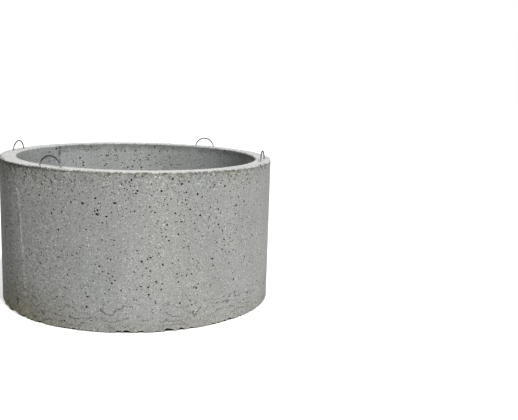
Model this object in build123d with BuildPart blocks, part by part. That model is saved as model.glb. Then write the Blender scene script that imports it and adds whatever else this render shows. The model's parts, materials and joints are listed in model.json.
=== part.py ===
"""Concrete culvert ring stood on its end, with bent steel lifting loops cast into its upper rim.

Millimetres. The origin is the centre of the ring's foot, +Z runs up the ring's axis, and the
places of the loops are counted from +X towards +Y.
"""

from build123d import *
import os
from math import cos, radians, sin

os.makedirs("parts", exist_ok=True)

# Ring, cast between an inner and an outer steel mould
bore_diameter = 1500
wall_thickness = 100
ring_height = 900
rim_chamfer = 8
foot_chamfer = 5

# Lifting loop, a plain round bar bent over a round former, with straight legs cast into the wall
bar_diameter = 8
bar_flats = 20
loop_span = 154
spring_depth = 20
anchor_depth = 300
loop_angles = (53.2, 165.4, 233.2, 345.4)
loop_turns = (3, -3, 3, -3)

# Room between the bar and the concrete that was cast round it
bond_gap = 0.2

# Sizes that follow from those above
mid_radius = (bore_diameter + wall_thickness) / 2
bar_radius = bar_diameter / 2
bend_radius = loop_span / 2
half_turn = 180


def loop_plane(angle, turn):
    """Upright plane on the middle of the wall: its origin in the rim, its X along the wall.

    The loops are set by hand, so each is turned a little out of the wall's line.
    """
    outward = Vector(cos(radians(angle)), sin(radians(angle)), 0)
    facing = outward.rotate(Axis.Z, turn)
    along = Axis.Z.direction.cross(facing)
    rim_middle = outward * mid_radius + Axis.Z.direction * ring_height
    return Plane(origin=rim_middle, x_dir=along, z_dir=facing)


def bent_bar(angle, turn, radius, depth):
    """Bar along one bent line: up one leg, over the half-round bend and down the other leg.

    Flats stand for its round section, so that the bends stay light.
    """
    with BuildPart() as bar:
        with BuildLine(loop_plane(angle, turn)) as route:
            Line((-bend_radius, -depth), (-bend_radius, -spring_depth))
            JernArc((-bend_radius, -spring_depth), (0, 1), bend_radius, -half_turn)
            Line((bend_radius, -spring_depth), (bend_radius, -depth))
        with BuildSketch(Plane(origin=route.line @ 0, z_dir=route.line % 0)):
            RegularPolygon(radius, bar_flats)
        sweep(path=route.line)
    return bar.part


# Ring: one wall section turned about the axis, with a pocket for each leg that is cast in
with BuildPart() as concrete_ring:
    with BuildSketch(Plane.XZ):
        with Locations((mid_radius, ring_height / 2)):
            Rectangle(wall_thickness, ring_height)
        chamfer(vertices().group_by(Axis.Y)[-1], rim_chamfer)
        chamfer(vertices().group_by(Axis.Y)[0], foot_chamfer)
    revolve(axis=Axis.Z)
    for angle, turn in zip(loop_angles, loop_turns):
        add(bent_bar(angle, turn, bar_radius + bond_gap, anchor_depth + bond_gap), mode=Mode.SUBTRACT)

concrete_ring.part.label = "concrete_ring"
export_step(concrete_ring.part, "parts/concrete_ring.step")

# Lifting loops: the same bent bar at each place round the rim
for number, (angle, turn) in enumerate(zip(loop_angles, loop_turns), start=1):
    with BuildPart() as lifting_loop:
        add(bent_bar(angle, turn, bar_radius, anchor_depth))
    lifting_loop.part.label = f"lifting_loop_{number}"
    export_step(lifting_loop.part, f"parts/lifting_loop_{number}.step")
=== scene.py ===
# %% [markdown]
# # A cast concrete ring with bent steel lifting loops
# The ring is one casting: wet concrete was poured between two steel moulds, shaken and trowelled off
# at the top. Four bent bars were pushed into the wet rim to lift it by. This file dresses the packed
# solids: a new skin for the casting, with its air voids and broken edges, and four rusty bars.
# Everything is in metres, in the frame of the solids, so each piece is made where it belongs.

# %% Load the solids as a fixed frame
import json
import math

import bmesh
import bpy
from mathutils import Matrix, Vector


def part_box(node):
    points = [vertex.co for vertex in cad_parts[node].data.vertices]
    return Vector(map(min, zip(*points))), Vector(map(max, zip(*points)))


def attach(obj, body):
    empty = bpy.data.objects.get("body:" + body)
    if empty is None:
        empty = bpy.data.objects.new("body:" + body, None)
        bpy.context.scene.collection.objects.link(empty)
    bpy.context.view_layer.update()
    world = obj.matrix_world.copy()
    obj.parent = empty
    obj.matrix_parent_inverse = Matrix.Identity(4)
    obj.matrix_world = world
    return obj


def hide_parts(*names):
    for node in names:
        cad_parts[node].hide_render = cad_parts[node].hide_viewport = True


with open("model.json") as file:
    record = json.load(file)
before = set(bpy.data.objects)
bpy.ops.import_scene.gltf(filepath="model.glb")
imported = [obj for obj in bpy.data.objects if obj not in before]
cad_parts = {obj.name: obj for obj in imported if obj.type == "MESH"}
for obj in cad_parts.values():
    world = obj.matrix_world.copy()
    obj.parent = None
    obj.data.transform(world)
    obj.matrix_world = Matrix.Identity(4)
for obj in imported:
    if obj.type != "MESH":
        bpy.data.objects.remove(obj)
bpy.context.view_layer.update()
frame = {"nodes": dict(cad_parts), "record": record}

print("solids:", sorted(frame["nodes"]))

# %% [markdown]
# ## Sizes
# The ring's sizes are read from the solids and from the record, so the skin follows them if they
# change. The loops' places come from the mounts in their eyes.

# %% Sizes of the casting and places of the loops
ring_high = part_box("concrete_ring")[1]
mounts = {mount["name"]: mount for mount in frame["record"]["mounts"]}
outer_radius = ring_high.x
bore_radius = mounts["well_bore"]["dims"]["r_mm"] / 1000
ring_height = ring_high.z
wall_thickness = outer_radius - bore_radius
mid_radius = (outer_radius + bore_radius) / 2

loop_names = sorted(name for name in frame["nodes"] if name.startswith("lifting_loop"))
loop_eyes = [Vector(mounts[name.replace("lifting_loop", "loop_eye")]["pos_m"]) for name in loop_names]
loop_angles = [math.atan2(eye.y, eye.x) for eye in loop_eyes]
print(f"ring {2 * outer_radius:.3f} m across, {wall_thickness:.3f} m wall, {ring_height:.3f} m high")
print("loops at", [round(math.degrees(angle) % 360, 1) for angle in loop_angles], "degrees")

# %% [markdown]
# ## Camera
# The camera was fitted to the rim, foot and sides of the ring in the photograph. It stands about four
# metres from the wall and half a metre above the rim, and looks to the right of the ring, which
# therefore fills the left half of the frame. No lens shift is needed.

# %% Camera at the photograph's place
photo_width = 518
focal_length_in_pixels = 749.9
camera_place = Vector((0.0, -4.866, 1.443))
camera_yaw = math.radians(9.289)
camera_pitch = math.radians(10.37)
camera_roll = math.radians(1.927)

forward = Vector((math.sin(camera_yaw), math.cos(camera_yaw), 0)) * math.cos(camera_pitch)
forward.z = -math.sin(camera_pitch)
level_side = Vector((math.cos(camera_yaw), -math.sin(camera_yaw), 0))
level_up = level_side.cross(forward)
side = level_side * math.cos(camera_roll) + level_up * math.sin(camera_roll)
up = level_up * math.cos(camera_roll) - level_side * math.sin(camera_roll)

camera_data = bpy.data.cameras.new("photo_camera")
camera_data.lens = camera_data.sensor_width * focal_length_in_pixels / photo_width
camera = bpy.data.objects.new("photo_camera", camera_data)
turn = Matrix((side, up, -forward)).transposed().to_4x4()
camera.matrix_world = Matrix.Translation(camera_place) @ turn
bpy.context.scene.collection.objects.link(camera)
bpy.context.scene.camera = camera
bpy.context.scene.view_settings.view_transform = "Standard"
print(f"lens {camera_data.lens:.1f} mm")

# %% [markdown]
# ## Helpers for node trees
# Geometry Nodes and shaders are both trees of nodes joined by links. A tree reads more easily when one
# line adds a node and fills its sockets: a plain value is set, and a node or a socket is linked.


# %% Helpers: put a node in a tree, and sums
def plug(tree, socket, value):
    """Set a socket to a plain value, or link it to another node's socket."""
    if isinstance(value, bpy.types.Node):
        value = next(output for output in value.outputs if output.enabled)
    if isinstance(value, bpy.types.NodeSocket):
        tree.links.new(value, socket)
    else:
        socket.default_value = value


def put(tree, kind, sockets=None, **options):
    """Add a node of a kind, set its options and fill the sockets that are named or numbered."""
    node = tree.nodes.new(kind)
    for option, value in options.items():
        setattr(node, option, value)
    for name, value in (sockets or {}).items():
        plug(tree, node.inputs[name], value)
    return node


def calc(tree, operation, *values):
    """One sum on numbers."""
    return put(tree, "ShaderNodeMath", dict(enumerate(values)), operation=operation)


def product(tree, first, *others):
    """Numbers or masks multiplied together."""
    for other in others:
        first = calc(tree, "MULTIPLY", first, other)
    return first


def vector_calc(tree, operation, *values):
    """One sum on vectors."""
    return put(tree, "ShaderNodeVectorMath", dict(enumerate(values)), operation=operation)


def scaled(tree, vector, factor):
    """A vector made longer or shorter."""
    return put(tree, "ShaderNodeVectorMath", {0: vector, "Scale": factor}, operation="SCALE")


# %% Helpers: fades and noise
def fade(tree, value, start, end, low=0.0, high=1.0):
    """A soft step: low before start, high after end."""
    sockets = {"Value": value, "From Min": start, "From Max": end, "To Min": low, "To Max": high}
    return put(tree, "ShaderNodeMapRange", sockets, interpolation_type="SMOOTHSTEP")


def noise(tree, vector, scale, detail=2.0, roughness=0.5):
    """Smooth noise from 0 to 1, with scale as the number of waves in a metre."""
    sockets = {"Vector": vector, "Scale": scale, "Detail": detail, "Roughness": roughness}
    return put(tree, "ShaderNodeTexNoise", sockets).outputs["Fac"]


def patches(tree, vector, waves, start, end, low=0.0, high=1.0):
    """Patches of noise: low where it is under start, high over end. Waves are what noise takes."""
    return fade(tree, noise(tree, vector, *waves), start, end, low, high)


def sway(tree, vector, waves, reach):
    """Noise that strays up to a reach to either side of nothing."""
    return calc(tree, "MULTIPLY_ADD", noise(tree, vector, *waves), 2 * reach, -reach)


# %% [markdown]
# ## Helpers for Geometry Nodes
# Each step of the casting is a tree of its own with named inputs. The step is run by a modifier, its
# result is kept as a plain mesh, and the modifier is taken off again, because only plain meshes are
# exported.

# %% Helpers: start a tree, end it and run it
SOCKET_KINDS = {
    int: "NodeSocketInt",
    float: "NodeSocketFloat",
    bpy.types.Object: "NodeSocketObject",
    bpy.types.Material: "NodeSocketMaterial",
    Vector: "NodeSocketVector",
}


def start_tree(name, inputs):
    """A tree with a geometry socket and the named inputs. Returns it and the group input's sockets."""
    tree = bpy.data.node_groups.new(name, "GeometryNodeTree")
    tree.interface.new_socket("Geometry", in_out="OUTPUT", socket_type="NodeSocketGeometry")
    tree.interface.new_socket("Geometry", in_out="INPUT", socket_type="NodeSocketGeometry")
    for label, kind in inputs.items():
        tree.interface.new_socket(label, in_out="INPUT", socket_type=SOCKET_KINDS[kind])
    return tree, tree.nodes.new("NodeGroupInput").outputs


def end_tree(tree, geometry, material):
    """Close a tree: real meshes for the instances, the material on every face, and the way out."""
    realized = put(tree, "GeometryNodeRealizeInstances", {"Geometry": geometry})
    finished = put(tree, "GeometryNodeSetMaterial", {"Geometry": realized, "Material": material})
    put(tree, "NodeGroupOutput", {"Geometry": finished})


def run_tree(piece, tree, values):
    """Run a tree on a piece, keep the result as the piece's plain mesh and say how large it is."""
    modifier = piece.modifiers.new(tree.name, "NODES")
    modifier.node_group = tree
    for item in tree.interface.items_tree:
        if item.in_out == "INPUT" and item.name in values:
            modifier[item.identifier] = values[item.name]
    piece.update_tag()
    graph = bpy.context.evaluated_depsgraph_get()
    result = bpy.data.meshes.new_from_object(piece.evaluated_get(graph))
    piece.modifiers.remove(modifier)
    piece.data = result
    result.name = piece.name
    result.calc_loop_triangles()
    print(f"{tree.name} on {piece.name}: {len(result.loop_triangles)} triangles")


def cut_out(tree, mesh, *cutters):
    """A mesh less the cutters."""
    cut = put(tree, "GeometryNodeMeshBoolean", {"Mesh 1": mesh}, operation="DIFFERENCE",
              solver="MANIFOLD")
    for cutter in cutters:
        plug(tree, cut.inputs["Mesh 2"], cutter)
    return cut


def new_piece(name, mesh=None):
    """An object at the origin, with an empty mesh for a tree to fill."""
    piece = bpy.data.objects.new(name, mesh or bpy.data.meshes.new(name))
    bpy.context.scene.collection.objects.link(piece)
    return piece


# %% [markdown]
# ## The casting
# The ring is a turned shape: one section of the wall, carried round a circle. A cylinder with a hole
# would give the same outline but razor edges and a dead flat surface. Here the section's outline has
# soft arrises, as the moulds leave them, and enough points along the wall for the next sums. The
# moulds are never quite true, so noise presses the walls in by up to half a millimetre, and the
# trowelled rim falls a few millimetres. The noise only takes away, so the ring stays in its solid.

# %% Outline of the wall's section
rim_arris = 0.007
foot_arris = 0.004
arris_steps = 3
wall_cell = 0.041


def divided(start, end):
    """Points between two ends, without the ends, no further apart than a wall cell."""
    parts = max(1, math.ceil((end - start).length / wall_cell))
    return [start.lerp(end, part / parts) for part in range(1, parts)]


def wall_outline():
    """Closed line round the section: x runs outwards from the middle of the wall, y up from the foot."""
    half = wall_thickness / 2
    corners = (
        (half - foot_arris, foot_arris, foot_arris, -90),
        (half - rim_arris, ring_height - rim_arris, rim_arris, 0),
        (rim_arris - half, ring_height - rim_arris, rim_arris, 90),
        (foot_arris - half, foot_arris, foot_arris, 180),
    )
    arcs = []
    for x, y, radius, start in corners:
        angles = [math.radians(start + 90 * step / arris_steps) for step in range(arris_steps + 1)]
        arcs.append([Vector((x + radius * math.cos(a), y + radius * math.sin(a), 0)) for a in angles])
    points = []
    for arc, following in zip(arcs, arcs[1:] + arcs[:1]):
        points += arc + divided(arc[-1], following[0])
    return points


outline_points = wall_outline()
outline_mesh = bpy.data.meshes.new("wall_outline")
outline_edges = [(i, (i + 1) % len(outline_points)) for i in range(len(outline_points))]
outline_mesh.from_pydata(outline_points, outline_edges, [])
wall_outline_piece = new_piece("wall_outline", outline_mesh)
print("section outline:", len(outline_points), "points")

# %% Tree: carry the section round and let it wander
concrete = bpy.data.materials.new("cast_concrete")
mould_wave = 0.0006
mould_waves_per_metre = 2.6
rim_fall = 0.0035
rim_waves_per_metre = 7.0
foot_kept_true = 0.05
rim_depth = 0.012
stations = round(2 * math.pi * outer_radius / wall_cell)


def cast_wall_tree():
    """The section carried round a circle, with the moulds' waves and the trowel's."""
    tree, given = start_tree("cast_wall", {
        "Outline": bpy.types.Object, "Middle Radius": float, "Height": float, "Stations": int,
        "Mould Wave": float, "Rim Fall": float, "Material": bpy.types.Material})
    outline = put(tree, "GeometryNodeObjectInfo", {"Object": given["Outline"]}).outputs["Geometry"]
    section = put(tree, "GeometryNodeMeshToCurve", {"Mesh": outline})
    # The sweep round a circle lays a profile's y downwards, so the section is turned half round first
    section = put(tree, "GeometryNodeTransform", {"Geometry": section, "Rotation": (0.0, 0.0, math.pi)})
    circle = put(tree, "GeometryNodeCurvePrimitiveCircle",
                 {"Resolution": given["Stations"], "Radius": given["Middle Radius"]})
    wall = put(tree, "GeometryNodeCurveToMesh", {"Curve": circle, "Profile Curve": section})
    place = put(tree, "GeometryNodeInputPosition")
    height = put(tree, "ShaderNodeSeparateXYZ", {0: place}).outputs["Z"]
    clear_of_foot = fade(tree, height, 0.0, foot_kept_true)
    waves = noise(tree, place, mould_waves_per_metre)
    dent = product(tree, waves, given["Mould Wave"], clear_of_foot, -1.0)
    inwards = scaled(tree, put(tree, "GeometryNodeInputNormal"), dent)
    below_rim = calc(tree, "SUBTRACT", given["Height"], height)
    on_rim = fade(tree, below_rim, rim_depth, 0.0)
    waves = noise(tree, place, rim_waves_per_metre, 3.0)
    dip = product(tree, waves, given["Rim Fall"], on_rim, -1.0)
    moved = vector_calc(tree, "ADD", inwards, put(tree, "ShaderNodeCombineXYZ", {"Z": dip}))
    wall = put(tree, "GeometryNodeSetPosition", {"Geometry": wall, "Offset": moved})
    end_tree(tree, wall, given["Material"])
    return tree


ring = new_piece("ring_casting")
run_tree(ring, cast_wall_tree(), {
    "Outline": wall_outline_piece, "Middle Radius": mid_radius, "Height": ring_height,
    "Stations": stations, "Mould Wave": mould_wave, "Rim Fall": rim_fall, "Material": concrete})
bpy.data.objects.remove(wall_outline_piece)

# %% [markdown]
# ## Seams of the moulds
# Each mould is made of halves that are bolted together, and grout creeps into the joints. It leaves a
# thin fin down the wall, knocked off later to an uneven rib. On the outside the photograph shows one
# as a faint pale line that leans a little, and inside a rough one below the far rim. A rib follows a
# path, so it is a thin bar swept along a line on the wall, swollen and thinned by noise, and then
# joined to the casting by a boolean, because the fin is the same concrete.

# %% Lines of the seams on the walls
half_turn_degrees = 180
seam_inset = 0.0015
outer_seam = ((212.5, 0.885), (215.6, 0.79), (218.0, 0.69), (219.2, 0.49), (221.9, 0.015))
bore_seam = ((136.9, 0.885), (136.3, 0.015))


def on_wall(degrees, height, radius):
    """A point on a round wall."""
    angle = math.radians(degrees)
    return Vector((radius * math.cos(angle), radius * math.sin(angle), height))


def line_piece(name, lines):
    """An object of bare edges, one chain for each line of points."""
    points, edges = [], []
    for line in lines:
        edges += [(len(points) + i, len(points) + i + 1) for i in range(len(line) - 1)]
        points += line
    mesh = bpy.data.meshes.new(name)
    mesh.from_pydata(points, edges, [])
    return new_piece(name, mesh)


seam_lines = []
for seam, radius in ((outer_seam, outer_radius - seam_inset), (bore_seam, bore_radius + seam_inset)):
    for half in (0, half_turn_degrees):
        seam_lines.append([on_wall(degrees + half, height, radius) for degrees, height in seam])
seams = line_piece("mould_seams", seam_lines)
print("mould seams:", len(seam_lines))

# %% Tree: a rib along each seam
rib_radius = 0.0021
rib_step = 0.014
rib_sides = 6
rib_wander = 0.006


def mould_seams_tree():
    """A thin uneven bar along each line, made one with the casting."""
    tree, given = start_tree("mould_seams", {
        "Lines": bpy.types.Object, "Rib Radius": float, "Rib Step": float, "Rib Sides": int,
        "Rib Wander": float, "Material": bpy.types.Material})
    lines = put(tree, "GeometryNodeObjectInfo", {"Object": given["Lines"]}).outputs["Geometry"]
    path = put(tree, "GeometryNodeMeshToCurve", {"Mesh": lines})
    path = put(tree, "GeometryNodeResampleCurve", {"Curve": path, "Length": given["Rib Step"]},
               mode="LENGTH")
    place = put(tree, "GeometryNodeInputPosition")
    drift = put(tree, "ShaderNodeTexNoise", {"Vector": place, "Scale": 22.0}).outputs["Color"]
    drift = scaled(tree, vector_calc(tree, "SUBTRACT", drift, (0.5, 0.5, 0.5)), given["Rib Wander"])
    path = put(tree, "GeometryNodeSetPosition", {"Geometry": path, "Offset": drift})
    swell = patches(tree, place, (38.0, 3.0), 0.3, 0.7, 0.25, 1.35)
    outline = put(tree, "GeometryNodeCurvePrimitiveCircle",
                  {"Resolution": given["Rib Sides"], "Radius": given["Rib Radius"]})
    ribs = put(tree, "GeometryNodeCurveToMesh",
               {"Curve": path, "Profile Curve": outline, "Scale": swell, "Fill Caps": True})
    joined = put(tree, "GeometryNodeMeshBoolean", {"Mesh 2": given["Geometry"]},
                 operation="UNION", solver="MANIFOLD")
    plug(tree, joined.inputs["Mesh 2"], ribs)
    end_tree(tree, joined, given["Material"])
    return tree


run_tree(ring, mould_seams_tree(), {
    "Lines": seams, "Rib Radius": rib_radius, "Rib Step": rib_step, "Rib Sides": rib_sides,
    "Rib Wander": rib_wander, "Material": concrete})
bpy.data.objects.remove(seams)

# %% [markdown]
# ## Air voids
# Air that is caught against a steel mould leaves round pits in the face, from pinheads to the size of
# a hazelnut, in loose clusters. They are what the eye knows concrete by, dark above and bright on the
# lower lip, so all but the smallest are real hollows. Points are scattered on the walls, thick where a
# noise is high. Each gets an uneven lump, most of them small, and the lumps are cut out of the casting.

# %% Helpers: random numbers and uneven lumps
lump_shapes = 4


def chance(tree, seed, turn, low, high):
    """A random number for each point. Each turn draws another one from the same seed."""
    own_seed = calc(tree, "ADD", seed, float(turn))
    return put(tree, "FunctionNodeRandomValue", {2: low, 3: high, "Seed": own_seed})


def uneven_scale(tree, size, seed, turn, *spans):
    """A size along each axis: the size times a random share from that axis's span."""
    sizes = {}
    for axis, (low, high) in enumerate(spans):
        sizes[axis] = product(tree, size, chance(tree, seed, turn + axis, low, high))
    return put(tree, "ShaderNodeCombineXYZ", sizes)


def lumps(tree, unevenness, faces_level):
    """A few uneven balls with a radius of one, to be picked from."""
    choice = put(tree, "GeometryNodeJoinGeometry")
    for number in range(lump_shapes):
        ball = put(tree, "GeometryNodeMeshIcoSphere", {"Radius": 1.0, "Subdivisions": faces_level})
        place = put(tree, "GeometryNodeInputPosition")
        elsewhere = vector_calc(tree, "ADD", place, (7.3 * number, 0.0, 0.0))
        swell = calc(tree, "SUBTRACT", noise(tree, elsewhere, 1.2), 0.5)
        offset = scaled(tree, place, calc(tree, "MULTIPLY", swell, unevenness))
        lump = put(tree, "GeometryNodeSetPosition", {"Geometry": ball, "Offset": offset})
        plug(tree, choice.inputs[0], put(tree, "GeometryNodeGeometryToInstance", {0: lump}))
    return choice


def scatter(tree, points, shapes, seed, rotation, scale):
    """One of the shapes on each point, picked at random."""
    pick = put(tree, "FunctionNodeRandomValue", {4: 0, 5: lump_shapes - 1, "Seed": seed}, data_type="INT")
    return put(tree, "GeometryNodeInstanceOnPoints", {
        "Points": points, "Instance": shapes, "Pick Instance": True, "Instance Index": pick,
        "Rotation": rotation, "Scale": scale})


# %% Tree: voids in both walls
edge_margin = 0.012
void_unevenness = 0.6
sink_share = 0.4


def air_voids_tree():
    """Lumps scattered over the upright walls and cut out of them."""
    tree, given = start_tree("air_voids", {
        "Voids per Square Metre": float, "Spacing": float, "Smallest Radius": float,
        "Largest Radius": float, "Faces Level": int, "Height": float, "Edge Margin": float,
        "Seed": int, "Material": bpy.types.Material})
    place = put(tree, "GeometryNodeInputPosition")
    height = put(tree, "ShaderNodeSeparateXYZ", {0: place}).outputs["Z"]
    slope = put(tree, "ShaderNodeSeparateXYZ", {0: put(tree, "GeometryNodeInputNormal")}).outputs["Z"]
    upright = calc(tree, "LESS_THAN", calc(tree, "ABSOLUTE", slope), 0.3)
    below_rim = calc(tree, "SUBTRACT", given["Height"], height)
    from_edge = calc(tree, "MINIMUM", height, below_rim)
    allowed = product(tree, upright, calc(tree, "GREATER_THAN", from_edge, given["Edge Margin"]))
    crowding = product(tree, patches(tree, place, (5.5, 3.0), 0.36, 0.66, 0.25, 1.0),
                       fade(tree, height, 0.0, 0.30, 0.45, 1.0),
                       fade(tree, below_rim, 0.20, 0.06, 1.0, 2.2))
    points = put(tree, "GeometryNodeDistributePointsOnFaces", {
        "Mesh": given["Geometry"], "Selection": allowed, "Distance Min": given["Spacing"],
        "Density Max": given["Voids per Square Metre"], "Density Factor": crowding,
        "Seed": given["Seed"]}, distribute_method="POISSON")
    draw = calc(tree, "POWER", chance(tree, given["Seed"], 1, 0.0, 1.0), 3.0)
    span = calc(tree, "SUBTRACT", given["Largest Radius"], given["Smallest Radius"])
    radius = calc(tree, "MULTIPLY_ADD", draw, span, given["Smallest Radius"])
    scale = uneven_scale(tree, radius, given["Seed"], 2, (0.85, 1.3), (0.8, 1.1), (0.9, 1.3))
    spin = put(tree, "ShaderNodeCombineXYZ", {"Z": chance(tree, given["Seed"], 5, 0.0, math.tau)})
    turned = put(tree, "FunctionNodeRotateRotation", {
        "Rotation": points.outputs["Rotation"], "Rotate By": spin}, rotation_space="LOCAL")
    inwards = scaled(tree, points.outputs["Normal"], product(tree, radius, -sink_share))
    sunk = put(tree, "GeometryNodeSetPosition", {"Geometry": points, "Offset": inwards})
    shapes = lumps(tree, void_unevenness, given["Faces Level"])
    voids = scatter(tree, sunk, shapes, given["Seed"], turned, scale)
    end_tree(tree, cut_out(tree, given["Geometry"], voids), given["Material"])
    return tree


# %% Cut a few smooth voids, then the many rough ones
void_kinds = (
    # voids in a square metre, spacing, smallest radius, largest radius, faces level, seed
    (12.0, 0.050, 0.0044, 0.0064, 2, 7),
    (660.0, 0.012, 0.0038, 0.0076, 1, 12),
)
air_voids = air_voids_tree()
for crowd, spacing, smallest, largest, level, seed in void_kinds:
    run_tree(ring, air_voids, {
        "Voids per Square Metre": crowd, "Spacing": spacing, "Smallest Radius": smallest,
        "Largest Radius": largest, "Faces Level": level, "Height": ring_height,
        "Edge Margin": edge_margin, "Seed": seed, "Material": concrete})

# %% [markdown]
# ## Broken arrises
# The edges of a raw casting crumble when the moulds come off and when the ring is set down. Chips
# follow the four edge circles, so a tree lays points along arcs, shakes them and cuts out a lump at
# each. Stretches that the photograph shows badly worn get more and larger chips.

# %% Stretches of edge and their chips
arris_inset = 0.003
rim_outside = (outer_radius - arris_inset, ring_height - arris_inset)
rim_inside = (bore_radius + arris_inset, ring_height - arris_inset)
foot_outside = (outer_radius - arris_inset / 2, arris_inset / 2)
foot_inside = (bore_radius + arris_inset / 2, arris_inset / 2)
edge_stretches = (
    # edge circle, from degree, to degree, chips, longest chip, faces level
    (rim_outside, 0, 360, 440, 0.014, 1),
    (rim_inside, 0, 360, 400, 0.014, 1),
    (foot_outside, 0, 360, 240, 0.019, 1),
    (foot_inside, 0, 360, 80, 0.014, 1),
    (rim_outside, 186, 228, 44, 0.020, 1),
    (rim_outside, 228, 300, 58, 0.022, 1),
    (rim_inside, 70, 140, 22, 0.017, 1),
    (rim_inside, 196, 300, 62, 0.023, 1),
    (foot_outside, 184, 240, 56, 0.036, 1),
    (foot_outside, 240, 312, 34, 0.030, 2),
)
print("chips on the edges:", sum(stretch[3] for stretch in edge_stretches))

# %% Tree: chips along the edges
chip_seed = 3
seeds_apart = 20.0
chip_unevenness = 1.1
smallest_share = 0.25


def arris_chips_tree():
    """Lumps along each stretch of edge, cut out of the casting."""
    tree, given = start_tree("arris_chips", {"Seed": int, "Material": bpy.types.Material})
    shapes = {level: lumps(tree, chip_unevenness, level) for level in (1, 2)}
    all_chips = []
    for number, ((radius, height), first, last, chips, longest, level) in enumerate(edge_stretches):
        seed = calc(tree, "ADD", given["Seed"], seeds_apart * number)
        arc = put(tree, "GeometryNodeCurveArc", {
            "Resolution": 4 * chips, "Radius": radius, "Start Angle": math.radians(first),
            "Sweep Angle": math.radians(last - first)})
        points = put(tree, "GeometryNodeCurveToPoints", {"Curve": arc, "Count": chips})
        gap = radius * math.radians(last - first) / chips
        along = scaled(tree, points.outputs["Tangent"], chance(tree, seed, 1, -gap / 2, gap / 2))
        lift = put(tree, "ShaderNodeCombineXYZ", {"Z": height})
        shaken = put(tree, "GeometryNodeSetPosition", {
            "Geometry": points, "Offset": vector_calc(tree, "ADD", along, lift)})
        draw = calc(tree, "POWER", chance(tree, seed, 2, 0.0, 1.0), 2.0)
        smallest = smallest_share * longest
        size = calc(tree, "MULTIPLY_ADD", draw, longest - smallest, smallest)
        scale = uneven_scale(tree, size, seed, 3, (0.4, 0.75), (0.7, 1.0), (0.4, 0.75))
        sideways = put(tree, "ShaderNodeSeparateXYZ", {0: points.outputs["Tangent"]})
        heading = calc(tree, "ARCTAN2", sideways.outputs["Y"], sideways.outputs["X"])
        rotation = put(tree, "ShaderNodeCombineXYZ", {
            "X": chance(tree, seed, 6, -0.6, 0.6), "Y": chance(tree, seed, 7, -0.6, 0.6),
            "Z": calc(tree, "SUBTRACT", heading, math.pi / 2)})
        all_chips.append(scatter(tree, shaken, shapes[level], seed, rotation, scale))
    end_tree(tree, cut_out(tree, given["Geometry"], *all_chips), given["Material"])
    return tree


run_tree(ring, arris_chips_tree(), {"Seed": chip_seed, "Material": concrete})

# %% [markdown]
# ## Lifting loops
# Each loop is a plain round bar, bent over a former by hand and pushed deep into the wet rim. Its line
# follows a rule: up one straight leg, half round, and down the other leg. So one tree makes all four:
# it bends a straight line of points by a formula in the length along the bar, lets the part above the
# rim lean a little, and sweeps a round section along it. The legs are there in full, as on the solids.

# %% Tree: a bent bar
bar_diameter = 0.008
loop_span = 0.154
spring_depth = 0.020
anchor_depth = 0.300
bar_sides = 16
bar_points = 90
lean_height = 0.06
loop_steel = bpy.data.materials.new("loop_bar_steel")


def bent_bar_tree():
    """A bar bent by a formula and stood in the rim at an angle round the ring."""
    tree, given = start_tree("bent_bar", {
        "Span": float, "Spring Depth": float, "Anchor Depth": float, "Bar Diameter": float,
        "Bar Sides": int, "Bar Points": int, "Lean": float, "Place": Vector, "Turn": float,
        "Seed": int, "Material": bpy.types.Material})
    line = put(tree, "GeometryNodeCurvePrimitiveLine", {"End": (1.0, 0.0, 0.0)})
    line = put(tree, "GeometryNodeResampleCurve", {"Curve": line, "Count": given["Bar Points"]})
    bend = calc(tree, "MULTIPLY", given["Span"], 0.5)
    leg = calc(tree, "SUBTRACT", given["Anchor Depth"], given["Spring Depth"])
    over = calc(tree, "MULTIPLY", bend, math.pi)
    whole = calc(tree, "MULTIPLY_ADD", leg, 2.0, over)
    share = put(tree, "GeometryNodeSplineParameter").outputs["Factor"]
    past_leg = calc(tree, "SUBTRACT", calc(tree, "MULTIPLY", share, whole), leg)
    turned = calc(tree, "DIVIDE", past_leg, bend)
    turned = calc(tree, "MINIMUM", calc(tree, "MAXIMUM", turned, 0.0), math.pi)
    across = product(tree, calc(tree, "COSINE", turned), product(tree, bend, -1.0))
    first_leg = calc(tree, "MINIMUM", past_leg, 0.0)
    second_leg = calc(tree, "MINIMUM", calc(tree, "SUBTRACT", over, past_leg), 0.0)
    legs = calc(tree, "ADD", first_leg, second_leg)
    arch = calc(tree, "MULTIPLY_ADD", calc(tree, "SINE", turned), bend, legs)
    height = calc(tree, "SUBTRACT", arch, given["Spring Depth"])
    tilt = product(tree, fade(tree, height, 0.0, lean_height), given["Lean"])
    drift = product(tree, tilt, chance(tree, given["Seed"], 1, -0.6, 0.6))
    across = calc(tree, "ADD", across, drift)
    place = put(tree, "ShaderNodeCombineXYZ", {"X": across, "Y": tilt, "Z": height})
    line = put(tree, "GeometryNodeSetPosition", {"Geometry": line, "Position": place})
    section = put(tree, "GeometryNodeCurvePrimitiveCircle", {
        "Resolution": given["Bar Sides"], "Radius": calc(tree, "MULTIPLY", given["Bar Diameter"], 0.5)})
    bar = put(tree, "GeometryNodeCurveToMesh", {"Curve": line, "Profile Curve": section, "Fill Caps": True})
    heading = put(tree, "ShaderNodeCombineXYZ", {"Z": given["Turn"]})
    bar = put(tree, "GeometryNodeTransform", {
        "Geometry": bar, "Translation": given["Place"], "Rotation": heading})
    end_tree(tree, bar, given["Material"])
    return tree


# %% Bend the four bars
bent_bar = bent_bar_tree()
leans = (0.002, -0.002, 0.001, -0.002)
loop_turns = [math.radians(degrees) for degrees in (3, -3, 3, -3)]


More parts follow.
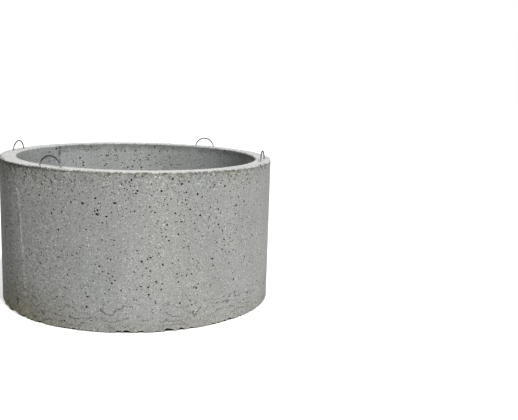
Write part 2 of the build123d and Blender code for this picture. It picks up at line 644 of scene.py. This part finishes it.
def stand_bar(name, angle, turn, diameter, lean, seed, material):
    """One bar at an angle round the rim, as a piece."""
    piece = new_piece(name)
    place = on_wall(math.degrees(angle), ring_height, mid_radius)
    run_tree(piece, bent_bar, {
        "Span": loop_span, "Spring Depth": spring_depth, "Anchor Depth": anchor_depth,
        "Bar Diameter": diameter, "Bar Sides": bar_sides, "Bar Points": bar_points, "Lean": lean,
        "Place": place, "Turn": angle + turn - math.pi / 2, "Seed": seed, "Material": material})
    return piece


loops = []
loop_rows = zip(loop_names, loop_angles, loop_turns, leans)
for number, (name, angle, turn, lean) in enumerate(loop_rows, start=1):
    loop = stand_bar(name.replace("lifting", "bent"), angle, turn, bar_diameter, lean, number, loop_steel)
    loop.data.shade_smooth()
    loops.append(loop)

# %% [markdown]
# ## Hollows in listed places
# Some hollows have a known place: the largest voids that the photograph shows on the outside and in
# the bore, the crumbled cups round the legs of the loops, and the tight pockets that the legs fill.
# Voids and cups are gathered in one cutter, each pocket is a slightly thicker bar, and all are taken
# out of the casting by the same tree.

# %% Largest voids
largest_voids = (
    # degrees round the ring, height, half length, half width, tilt in degrees
    (255.0, 0.665, 0.0115, 0.0065, -35),
    (261.5, 0.730, 0.0105, 0.0060, 0),
    (286.0, 0.625, 0.0090, 0.0045, 5),
    (258.5, 0.655, 0.0080, 0.0055, 25),
    (249.5, 0.720, 0.0100, 0.0070, -40),
    (257.0, 0.620, 0.0070, 0.0045, -10),
    (276.0, 0.680, 0.0070, 0.0045, 0),
    (247.0, 0.440, 0.0070, 0.0050, -30),
    (269.5, 0.470, 0.0060, 0.0045, 0),
    (274.5, 0.430, 0.0065, 0.0055, 30),
    (250.5, 0.220, 0.0065, 0.0045, 0),
    (251.0, 0.200, 0.0070, 0.0050, -45),
    (276.5, 0.170, 0.0060, 0.0045, 10),
    (284.5, 0.330, 0.0060, 0.0050, 60),
    (259.0, 0.340, 0.0060, 0.0050, 80),
    (279.0, 0.390, 0.0055, 0.0050, 0),
    (223.0, 0.850, 0.0095, 0.0070, -20),
    (208.0, 0.800, 0.0100, 0.0070, 0),
    (222.0, 0.810, 0.0085, 0.0060, 15),
    (215.5, 0.775, 0.0090, 0.0065, 0),
    (233.5, 0.850, 0.0080, 0.0055, -30),
    (236.5, 0.825, 0.0105, 0.0060, -50),
    (230.5, 0.740, 0.0070, 0.0065, 70),
    (138.8, 0.876, 0.0120, 0.0060, 0),
    (121.5, 0.765, 0.0095, 0.0060, 40),
    (123.5, 0.800, 0.0080, 0.0070, 70),
    (109.0, 0.735, 0.0075, 0.0050, -20),
    (102.5, 0.810, 0.0075, 0.0050, 15),
    (96.0, 0.720, 0.0070, 0.0060, 0),
    (88.5, 0.720, 0.0070, 0.0060, 35),
)
depth_share = 1.25
skyward = Vector((0, 0, 1))


def add_lump(mesh, centre, outward, tilt, sizes):
    """A squashed ball: half length along the wall, half width up it and half depth into it."""
    level = Vector((1, 0, 0))
    if outward != skyward:
        level = skyward.cross(outward).normalized()
    rise = outward.cross(level)
    turn = Matrix((level, rise, outward)).transposed().to_4x4() @ Matrix.Rotation(tilt, 4, "Z")
    shape = Matrix.Translation(centre) @ turn @ Matrix.Diagonal((*sizes, 1))
    bmesh.ops.create_icosphere(mesh, subdivisions=2, radius=1, matrix=shape)


hollows = bmesh.new()
for degrees, height, length, width, tilt in largest_voids:
    outside = degrees > half_turn_degrees
    centre = on_wall(degrees, height, outer_radius if outside else bore_radius)
    outward = Vector((centre.x, centre.y, 0)).normalized() * (1 if outside else -1)
    add_lump(hollows, centre, outward, math.radians(tilt), (length, width, depth_share * width))
print("hand-placed voids:", len(largest_voids))

# %% Cups and pockets of the legs
cup_sizes = (0.011, 0.0088, 0.005)
bond_gap = 0.0002
pocket_diameter = bar_diameter + 2 * bond_gap

cutters = []
for number, (angle, turn) in enumerate(zip(loop_angles, loop_turns), start=1):
    along = Vector((-math.sin(angle + turn), math.cos(angle + turn), 0))
    middle = on_wall(math.degrees(angle), ring_height, mid_radius)
    for way in (-1, 1):
        add_lump(hollows, middle + along * way * loop_span / 2, skyward, angle, cup_sizes)
    cutters.append(stand_bar(f"leg_pocket_{number}", angle, turn, pocket_diameter, 0.0, number, concrete))
hollow_mesh = bpy.data.meshes.new("hollows")
hollows.to_mesh(hollow_mesh)
hollows.free()
cutters.insert(0, new_piece("hollows", hollow_mesh))


# %% Tree: take a cutter out of the casting
def cut_away_tree():
    """The casting less another object."""
    tree, given = start_tree("cut_away", {"Cutter": bpy.types.Object, "Material": bpy.types.Material})
    cutter = put(tree, "GeometryNodeObjectInfo", {"Object": given["Cutter"]}).outputs["Geometry"]
    end_tree(tree, cut_out(tree, given["Geometry"], cutter), given["Material"])
    return tree


cut_away = cut_away_tree()
for cutter in cutters:
    run_tree(ring, cut_away, {"Cutter": cutter, "Material": concrete})
    bpy.data.objects.remove(cutter)

# %% Soft faces and sharp lips
sharp_lip = math.radians(38)
ring.data.shade_smooth()
ring.data.set_sharp_from_angle(angle=sharp_lip)
check = bmesh.new()
check.from_mesh(ring.data)
open_edges = sum(1 for edge in check.edges if len(edge.link_faces) != 2)
print(f"casting holds {check.calc_volume(signed=True):.4f} cubic metres, open edges {open_edges}")
check.free()

# %% [markdown]
# ## Concrete
# Grey concrete is a dull, rough stone with many small differences: clouds of paler and darker paste,
# a pale trowelled rim, plates of the moulds that left their own tones, stains of damp and soil, sand
# grains and pinholes. A photograph of concrete could be wrapped round it, but it would repeat and
# blur. Here each of these is a layer of its own, mixed from noise and from the place on the ring: how
# deep a point lies under the cast face, how high it is, which wall it is on and which way it faces.


# %% Helpers: colour layers
def blend(tree, factor, under, over, mode="MIX"):
    """One colour laid over another."""
    return put(tree, "ShaderNodeMix", {0: factor, 6: under, 7: over}, data_type="RGBA",
               blend_type=mode).outputs[2]


def colour(red, green, blue):
    """A colour with full cover."""
    return (red, green, blue, 1.0)


def grey(tree, tone):
    """A number as a grey colour."""
    return put(tree, "ShaderNodeCombineColor", {0: tone, 1: tone, 2: tone})


def stretched(tree, vector, share):
    """The place with its height scaled, which draws a pattern out upwards, or flattens it over 1."""
    return vector_calc(tree, "MULTIPLY", vector, (1.0, 1.0, share))


def tell(tree, layers):
    """Say what a finish has got, and how many nodes it has so far."""
    print(f"{layers}: {len(tree.nodes)} nodes so far")


def start_material(material):
    """Give a material its shader and return the tree, the shader and the place on the piece."""
    material.use_nodes = True
    tree = material.node_tree
    shader = tree.nodes["Principled BSDF"]
    return tree, shader, put(tree, "ShaderNodeTexCoord").outputs["Object"]


# %% Concrete: where a point is on the ring
hollow_start, hollow_full = 0.0014, 0.0038
middle_blur = 0.02

tree, shader, place = start_material(concrete)
parts = put(tree, "ShaderNodeSeparateXYZ", {0: place})
height = parts.outputs["Z"]
flat_place = put(tree, "ShaderNodeCombineXYZ", {"X": parts.outputs["X"], "Y": parts.outputs["Y"]})
from_axis = vector_calc(tree, "LENGTH", flat_place).outputs["Value"]
below_rim = calc(tree, "SUBTRACT", ring_height, height)
under_outside = calc(tree, "SUBTRACT", outer_radius, from_axis)
under_bore = calc(tree, "SUBTRACT", from_axis, bore_radius)
under_wall = calc(tree, "MINIMUM", under_outside, under_bore)
under_end = calc(tree, "MINIMUM", calc(tree, "SUBTRACT", below_rim, rim_fall), height)
depth = calc(tree, "MINIMUM", under_wall, under_end)
in_hollow = product(tree, fade(tree, depth, hollow_start, hollow_full),
                    fade(tree, below_rim, 0.012, 0.024, 0.55, 1.0))
on_rim = fade(tree, below_rim, 0.010, 0.005)
off_rim = calc(tree, "SUBTRACT", 1.0, on_rim)
outer_half = fade(tree, from_axis, mid_radius, mid_radius + middle_blur)
on_outside = product(tree, outer_half, off_rim)
on_bore = product(tree, fade(tree, from_axis, mid_radius, mid_radius - middle_blur), off_rim)
tell(tree, "concrete, places on the ring")


# %% Concrete: helpers for masks and stains
def facing(degrees, start, end):
    """Soft mask for the side of the ring that faces a direction."""
    angle = math.radians(degrees)
    reach = vector_calc(tree, "DOT_PRODUCT", place, (math.cos(angle), math.sin(angle), 0.0))
    return fade(tree, reach, start, end)


def past(degrees):
    """How far a point lies past an upright line on the wall, counted along the wall."""
    angle = math.radians(degrees)
    return vector_calc(tree, "DOT_PRODUCT", place, (-math.sin(angle), math.cos(angle), 0.0))


def stain(paint, mask, tint):
    """A tint multiplied over the paint where the mask says."""
    return blend(tree, mask, paint, tint, "MULTIPLY")


towards_viewer = 262
towards_shade = 206
towards_far_left = 200
towards_left_end = 190
shaded_side = facing(towards_shade, 0.55, 0.84)
far_left = product(tree, facing(towards_far_left, 0.68, 0.82), on_outside)

# %% Concrete: paste, clouds, rain streaks, the trowelled rim and its painted highlight
pale_paste = colour(0.440, 0.442, 0.430)
dark_paste = colour(0.392, 0.396, 0.386)
warm_tint = colour(1.005, 1.0, 0.978)
cool_tint = colour(0.985, 1.0, 1.0)
trowelled_paste = colour(0.46, 0.465, 0.452)
near_rim_highlight_tint = colour(1.11, 1.11, 1.10)

upright = stretched(tree, place, 0.45)
paint = blend(tree, patches(tree, upright, (4.0, 2.0), 0.3, 0.7), dark_paste, pale_paste)
tints = blend(tree, patches(tree, upright, (3.1, 2.0), 0.35, 0.65), cool_tint, warm_tint)
paint = stain(paint, 1.0, tints)
paint = blend(tree, on_rim, paint, trowelled_paste)
# Painted highlight: the rim is paler on the side that faces the camera
paint = stain(paint, product(tree, on_rim, facing(towards_viewer, 0.35, 0.80)), near_rim_highlight_tint)
streaks = patches(tree, stretched(tree, place, 0.04), (34.0, 1.0), 0.32, 0.68, 0.988, 1.012)
paint = stain(paint, 1.0, grey(tree, streaks))
tell(tree, "concrete, paste and streaks")

# %% [markdown]
# ## Marks of the moulds
# The plates of a mould are never equally clean, so each leaves its own tone, and dirt or grout marks
# the joint between two of them. In the bore the joint is a broken dark line with a step of tone beside
# it. On the outside it is a pale strip that leans, with a darker plate beyond. The strip has to follow
# the rib that was swept there, so a curve node holds the same line: angle against height.

# %% Concrete: the bore's plates and their joint
left_plate_tint = colour(0.81, 0.835, 0.84)
right_plate_tint = colour(0.91, 0.93, 0.935)
seam_tint = colour(0.36, 0.345, 0.32)

from_bore_seam = calc(tree, "ADD", past(bore_seam[0][0]), sway(tree, place, (45.0, 4.0, 0.75), 0.035))
plate_side = fade(tree, from_bore_seam, -0.010, 0.0)
paint = stain(paint, on_bore, blend(tree, plate_side, right_plate_tint, left_plate_tint))
seam_near = calc(tree, "ABSOLUTE", calc(tree, "SUBTRACT", from_bore_seam, 0.001))
seam_dark = product(tree, fade(tree, seam_near, 0.014, 0.004), on_bore,
                    patches(tree, place, (36.0, 3.0, 0.7), 0.42, 0.52, 0.2, 1.0),
                    fade(tree, below_rim, 0.10, 0.24, 1.0, 0.45))
paint = stain(paint, seam_dark, seam_tint)
tell(tree, "concrete, plates of the bore")

# %% Concrete: the outer joint, its pale strip and the darker plate
far_plate_tint = colour(0.89, 0.88, 0.855)
pale_seam_tint = colour(1.28, 1.28, 1.27)

seam_start, seam_span = outer_seam[0][0], outer_seam[-1][0] - outer_seam[0][0]
seam_curve = put(tree, "ShaderNodeFloatCurve", {"Value": calc(tree, "DIVIDE", height, ring_height)})
line = seam_curve.mapping.curves[0]
line.points[0].location = (0.0, 1.0)
line.points[1].location = (1.0, 0.0)
for degrees, seam_height in outer_seam[1:-1]:
    line.points.new(seam_height / ring_height, (degrees - seam_start) / seam_span)
seam_curve.mapping.update()
wall_angle = calc(tree, "ARCTAN2", parts.outputs["Y"], parts.outputs["X"])
seam_angle = calc(tree, "MULTIPLY_ADD", seam_curve, math.radians(seam_span),
                  math.radians(seam_start) - math.tau)
from_outer_seam = product(tree, calc(tree, "SUBTRACT", wall_angle, seam_angle), outer_radius)
far_plate = product(tree, fade(tree, from_outer_seam, -0.05, -0.14), shaded_side, on_outside)
paint = stain(paint, far_plate, far_plate_tint)
strip = calc(tree, "ABSOLUTE", calc(tree, "ADD", from_outer_seam, sway(tree, place, (24.0, 3.0), 0.01)))
strip = product(tree, fade(tree, strip, 0.019, 0.004), fade(tree, height, 0.08, 0.18), on_outside,
                patches(tree, place, (9.0, 3.0), 0.35, 0.55, 0.35, 1.0))
paint = stain(paint, strip, pale_seam_tint)
tell(tree, "concrete, outer joint")

# %% [markdown]
# ## Weather and soil
# Water stands on the rim and runs down, so the wall is damp and dark below it, deepest on the shaded
# left, where moss and black mould grow among specks of lime. The foot has taken up soil and water, and
# each wetting dried to a dark wavy edge. Under the rim's edge and at the ring's left end, painted shade
# is laid with the dirt. These marks have known places, so each is a fade in the height or in the
# distance from the rim, made ragged by noise.

# %% Concrete: damp, moss, mould and lime under the rim
damp_tint = colour(0.62, 0.63, 0.57)
moss_tint = colour(0.66, 0.68, 0.50)
mould_tint = colour(0.34, 0.34, 0.31)
lime_tint = colour(1.6, 1.6, 1.57)
bore_damp_tint = colour(0.56, 0.57, 0.56)
damp_depth = 0.072
deeper_in_shade = 0.025
mould_depth = 0.150
bore_damp_depth = 0.060

ragged = sway(tree, place, (16.0, 4.0, 0.65), 0.08)
damp_reach = calc(tree, "MULTIPLY_ADD", shaded_side, -deeper_in_shade, below_rim)
damp_reach = calc(tree, "ADD", damp_reach, ragged)
damp = product(tree, fade(tree, damp_reach, damp_depth, 0.0), on_outside)
paint = stain(paint, product(tree, damp, fade(tree, shaded_side, 0.0, 1.0, 0.55, 0.5)), damp_tint)
paint = stain(paint, product(tree, patches(tree, place, (13.0, 4.0, 0.6), 0.54, 0.68), damp), moss_tint)
speckled = product(tree, fade(tree, damp_reach, mould_depth, 0.010), on_outside)
mould = product(tree, patches(tree, place, (62.0, 3.0, 0.7), 0.555, 0.60), speckled, 0.8)
paint = stain(paint, mould, mould_tint)
lime = product(tree, patches(tree, place, (80.0, 2.0, 0.6), 0.59, 0.63), speckled)
paint = stain(paint, lime, lime_tint)
bore_damp = fade(tree, calc(tree, "MULTIPLY_ADD", ragged, 0.5, below_rim), bore_damp_depth, 0.018)
bore_damp = product(tree, bore_damp, fade(tree, plate_side, 0.0, 1.0, 1.0, 0.2), on_bore)
paint = stain(paint, bore_damp, bore_damp_tint)
tell(tree, "concrete, damp and growth")

# %% Concrete: dirt on the rim, dirt and painted shade under its edge, blackest at the far left, and painted shade at the left end
arris_dirt_and_shade_tint = colour(0.52, 0.51, 0.475)
under_rim_shadow_tint = colour(0.16, 0.16, 0.145)
left_end_shade_tint = colour(0.68, 0.67, 0.65)
rim_dirt_tint = colour(0.62, 0.61, 0.58)
fringe_depth = 0.046
under_rim_shadow_depth = 0.040
left_end_shade_depth = 0.20

# Dirt and painted shade: a dark line just under the rim's outer edge, stronger on the shaded side
arris_dirt_and_shade = product(tree, fade(tree, below_rim, 0.004, 0.009), fade(tree, below_rim, 0.024, 0.012),
                     outer_half, patches(tree, place, (26.0, 4.0, 0.7), 0.36, 0.52),
                     fade(tree, shaded_side, 0.0, 1.0, 0.5, 1.0))
paint = stain(paint, arris_dirt_and_shade, arris_dirt_and_shade_tint)
fringe = fade(tree, calc(tree, "MULTIPLY_ADD", ragged, 0.6, below_rim), fringe_depth, 0.010)
paint = stain(paint, product(tree, fringe, far_left, 0.7), mould_tint)
# Painted shadow: black dashes just under the rim's edge at the far left
under_rim_shadow_dashes = product(tree, patches(tree, stretched(tree, place, 1.6), (60.0, 2.0, 0.6), 0.50, 0.56),
                 fade(tree, below_rim, under_rim_shadow_depth, 0.014), far_left)
paint = stain(paint, under_rim_shadow_dashes, under_rim_shadow_tint)
# Painted shade: the upper wall is darker where the ring turns away at its left end
left_end_painted_shade = fade(tree, calc(tree, "MULTIPLY_ADD", ragged, 0.8, below_rim), left_end_shade_depth, 0.03)
left_end_painted_shade = product(tree, left_end_painted_shade, facing(towards_left_end, 0.72, 0.83), on_outside)
paint = stain(paint, left_end_painted_shade, left_end_shade_tint)
rim_dirt = product(tree, on_rim, fade(tree, from_axis, outer_radius - 0.035, outer_radius - 0.012),
                   patches(tree, place, (13.0, 4.0, 0.7), 0.50, 0.60))
paint = stain(paint, rim_dirt, rim_dirt_tint)
tell(tree, "concrete, dirt")

# %% Concrete: soil, a short crack and tide lines at the foot
soil_tint = colour(0.90, 0.88, 0.83)
shaded_tint = colour(0.78, 0.74, 0.64)
crack_tint = colour(0.45, 0.44, 0.41)
tide_tint = colour(0.36, 0.35, 0.32)
soil_height = 0.11
shaded_soil_height = 0.34
crack_degrees, crack_height = 215.2, 0.084
wettings_per_metre = 24.0

level = calc(tree, "ADD", height, sway(tree, upright, (5.5, 2.0), 0.085))
paint = stain(paint, product(tree, fade(tree, level, soil_height, 0.02), 0.8), soil_tint)
shaded_foot = product(tree, shaded_side, fade(tree, level, shaded_soil_height, 0.04), on_outside)
paint = stain(paint, shaded_foot, shaded_tint)
from_crack = calc(tree, "ADD", past(crack_degrees), sway(tree, place, (30.0, 3.0), 0.02))
crack_reach = calc(tree, "ABSOLUTE", calc(tree, "SUBTRACT", height, crack_height))
crack = product(tree, fade(tree, calc(tree, "ABSOLUTE", from_crack), 0.014, 0.004),
                fade(tree, crack_reach, 0.036, 0.020), far_left)
paint = stain(paint, crack, crack_tint)
tide_level = calc(tree, "ADD", height, sway(tree, place, (7.0, 5.0, 0.6), 0.11))
wetting = calc(tree, "FRACT", product(tree, tide_level, wettings_per_metre))
tide = product(tree, fade(tree, wetting, 0.72, 0.94), fade(tree, wetting, 1.0, 0.95),
               fade(tree, height, 0.20, 0.13), fade(tree, height, 0.01, 0.04),
               patches(tree, place, (10.0, 5.0, 0.7), 0.42, 0.54))
paint = stain(paint, tide, tide_tint)
tell(tree, "concrete, soil and tide lines")

# %% [markdown]
# ## Grains and pits
# Close by, the skin shows sand: each grain has a tone of its own, a few are pale and a few dark. The
# cells of a Voronoi texture are such grains, and in a coarser one some cells get a pinhole. Pinholes
# are too many and too small to cut, so they are bump and painted shade. The cut hollows get a dark
# painted shade inside, on top of the shade that their shape gives, and some pit-like spots on the
# ring's left end get painted shade as well.

# %% Concrete: sand grains and mottle
grains_per_metre = 260.0

grains = noise(tree, place, 220.0, 3.0, 0.7)
sand = put(tree, "ShaderNodeTexVoronoi", {"Vector": place, "Scale": grains_per_metre})
sand_draw = put(tree, "ShaderNodeSeparateColor", {0: sand.outputs["Color"]}).outputs
rough_skin = calc(tree, "MAXIMUM", product(tree, shaded_side, on_outside), damp)
rough_skin = calc(tree, "MAXIMUM", rough_skin, product(tree, on_rim, 0.25))
mottle = patches(tree, stretched(tree, place, 1.8), (44.0, 4.0, 0.8), 0.34, 0.66, 0.72, 1.32)
tone = product(tree, fade(tree, sand_draw["Red"], 0.0, 1.0, 0.82, 1.18),
               fade(tree, grains, 0.34, 0.66, 0.88, 1.12),
               fade(tree, sand_draw["Green"], 0.952, 0.962, 1.0, 1.75),
               fade(tree, sand_draw["Blue"], 0.95, 0.96, 1.0, 0.60),
               fade(tree, rough_skin, 0.0, 1.0, 1.0, mottle))
paint = stain(paint, 1.0, grey(tree, tone))
tell(tree, "concrete, sand")


# %% Concrete: painted shade in pinholes, pit-like spots and hollows
def pits(scale, share, reach, flatness=1.0):
    """1 inside small pits, one in a share of the cells of a pattern with so many cells a metre."""
    cell = put(tree, "ShaderNodeTexVoronoi", {"Vector": stretched(tree, place, flatness), "Scale": scale})
    draw = put(tree, "ShaderNodeSeparateColor", {0: cell.outputs["Color"]}).outputs["Red"]
    radius = fade(tree, draw, 1.0 - share, 1.0, 0.0, reach)
    return fade(tree, calc(tree, "SUBTRACT", cell.outputs["Distance"], radius), 0.05, 0.0)


hollow_painted_shade = colour(0.08, 0.078, 0.073)
pinhole_painted_shade = colour(0.27, 0.265, 0.25)
pit_spot_shade_tint = colour(0.50, 0.50, 0.48)

pinholes = calc(tree, "MAXIMUM", pits(48.0, 0.5, 0.175), pits(105.0, 0.3, 0.24))
pinholes = product(tree, pinholes, off_rim)
# Painted shade: the pinholes are darkened as the shade inside them
paint = stain(paint, pinholes, pinhole_painted_shade)
# Painted shade: dark pit-like spots on the left end, as the shade inside small pits
pit_shade_spots = product(tree, pits(26.0, 0.5, 0.42, 2.6), facing(towards_left_end, 0.74, 0.83), on_outside)
paint = stain(paint, pit_shade_spots, pit_spot_shade_tint)
# Painted shade: the cut hollows are darkened inside, on top of the shade that their shape gives
paint = stain(paint, in_hollow, hollow_painted_shade)
tell(tree, "concrete, pinholes and hollows")

# %% Concrete: relief and gloss
grain_height = 0.0010
pinhole_depth = 0.0020

relief = calc(tree, "MULTIPLY_ADD", pinholes, -pinhole_depth, product(tree, grains, grain_height))
bump = put(tree, "ShaderNodeBump", {"Height": relief, "Strength": 0.8, "Distance": 1.0})
plug(tree, shader.inputs["Normal"], bump)
plug(tree, shader.inputs["Base Color"], paint)
plug(tree, shader.inputs["Roughness"], fade(tree, grains, 0.2, 0.8, 0.82, 0.96))
shader.inputs["Specular IOR Level"].default_value = 0.3
tell(tree, "concrete, relief and gloss")

# %% [markdown]
# ## Bar steel
# The bars came from the mill with a dark scale, which the weather has broken and rusted, and cement
# splashed on the legs near the rim. Noise along the bar mixes bare scale, brown rust and a few orange
# spots, the rust is rougher than the scale, and the cement film is a fade in the height.

# %% Bar steel: scale, rust and cement film
mill_scale = colour(0.042, 0.041, 0.040)
brown_rust = colour(0.060, 0.048, 0.040)
orange_rust = colour(0.150, 0.088, 0.050)
cement_film = colour(0.27, 0.267, 0.255)
scale_relief = 0.0006

tree, shader, place = start_material(loop_steel)
rust = patches(tree, place, (60.0, 5.0, 0.65), 0.42, 0.62)
spots = patches(tree, place, (170.0, 3.0, 0.6), 0.60, 0.70)
paint = blend(tree, rust, mill_scale, brown_rust)
paint = blend(tree, product(tree, spots, rust), paint, orange_rust)
height = put(tree, "ShaderNodeSeparateXYZ", {0: place}).outputs["Z"]
above_rim = calc(tree, "SUBTRACT", height, ring_height)
splash = calc(tree, "MULTIPLY_ADD", noise(tree, place, 45.0, 3.0, 0.6), -0.08, above_rim)
splash = product(tree, fade(tree, splash, -0.004, -0.020), 0.85)
paint = blend(tree, splash, paint, cement_film)
plug(tree, shader.inputs["Base Color"], paint)
plug(tree, shader.inputs["Metallic"], fade(tree, rust, 0.0, 1.0, 0.3, 0.0))
plug(tree, shader.inputs["Roughness"], fade(tree, rust, 0.0, 1.0, 0.62, 0.95))
shader.inputs["Specular IOR Level"].default_value = 0.25
scale_bump = put(tree, "ShaderNodeBump", {
    "Height": noise(tree, place, 320.0, 4.0, 0.7), "Strength": 0.7, "Distance": scale_relief})
plug(tree, shader.inputs["Normal"], scale_bump)
tell(tree, "bar steel")

# %% [markdown]
# ## Floor and light
# The photograph has a white ground. The floor is a large plain sheet that shows itself to the camera
# as nearly white and keeps the ring's shadow, and lights the ring no more than a pale floor would.
# The sun stands high, a little to the right of the camera, the sky fills the shaded side, and a weak
# broad light from behind gives the back some shape.


# %% Floor
def straight_rays(tree):
    """1 for the rays that show the ground itself: to the camera, in a gloss or through glass."""
    seen = put(tree, "ShaderNodeLightPath").outputs
    straight = calc(tree, "MAXIMUM", seen["Is Camera Ray"], seen["Is Glossy Ray"])
    return calc(tree, "MAXIMUM", straight, seen["Is Transmission Ray"])


floor_half_width = 40.0
floor_drop = 0.0005
floor_glow = 0.62
white = colour(1.0, 1.0, 1.0)
floor_mesh = bpy.data.meshes.new("floor")
floor_corners = [(x * floor_half_width, y * floor_half_width, -floor_drop)
                 for x, y in ((-1, -1), (1, -1), (1, 1), (-1, 1))]
floor_mesh.from_pydata(floor_corners, [], [(0, 1, 2, 3)])
floor = new_piece("floor", floor_mesh)
floor_white = bpy.data.materials.new("floor_white")
floor_mesh.materials.append(floor_white)
floor_white.use_nodes = True
tree = floor_white.node_tree
tree.nodes.clear()
pale_floor = put(tree, "ShaderNodeBsdfDiffuse", {"Color": colour(0.20, 0.20, 0.196)})
white_floor = put(tree, "ShaderNodeBsdfDiffuse", {"Color": colour(0.55, 0.55, 0.55)})
glow = put(tree, "ShaderNodeEmission", {"Color": white, "Strength": floor_glow})
shown = put(tree, "ShaderNodeAddShader", {0: white_floor, 1: glow})
mixed = put(tree, "ShaderNodeMixShader", {0: straight_rays(tree), 1: pale_floor, 2: shown})
put(tree, "ShaderNodeOutputMaterial", {"Surface": mixed})
print(f"floor {2 * floor_half_width:.0f} m across")

# %% Sky
sky_fill = 0.27
world = bpy.data.worlds.new("white_sky")
bpy.context.scene.world = world
world.use_nodes = True
tree = world.node_tree
tree.nodes.clear()
strength = fade(tree, straight_rays(tree), 0.0, 1.0, sky_fill, 1.0)
sky = put(tree, "ShaderNodeBackground", {"Color": white, "Strength": strength})
put(tree, "ShaderNodeOutputWorld", {"Surface": sky})
print("sky lights with a strength of", sky_fill)

# %% Sun and back light
suns = {
    # strength, then softness, height and angle to the right of the camera's side in degrees
    "sun": (3.6, 7, 55, 25),
    "back_light": (0.9, 40, 15, 160),
}
for name, (strength, softness, sun_height, to_right) in suns.items():
    lamp = bpy.data.lights.new(name, "SUN")
    lamp.energy = strength
    lamp.angle = math.radians(softness)
    sun = bpy.data.objects.new(name, lamp)
    sun.rotation_euler = (math.pi / 2 - math.radians(sun_height), 0.0, math.radians(to_right))
    bpy.context.scene.collection.objects.link(sun)
    print(name, "stands", sun_height, "degrees high")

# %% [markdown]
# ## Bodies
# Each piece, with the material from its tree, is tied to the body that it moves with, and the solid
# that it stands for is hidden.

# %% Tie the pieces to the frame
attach(ring, "root")
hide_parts("concrete_ring")
for loop, name in zip(loops, loop_names):
    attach(loop, "root")
    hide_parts(name)
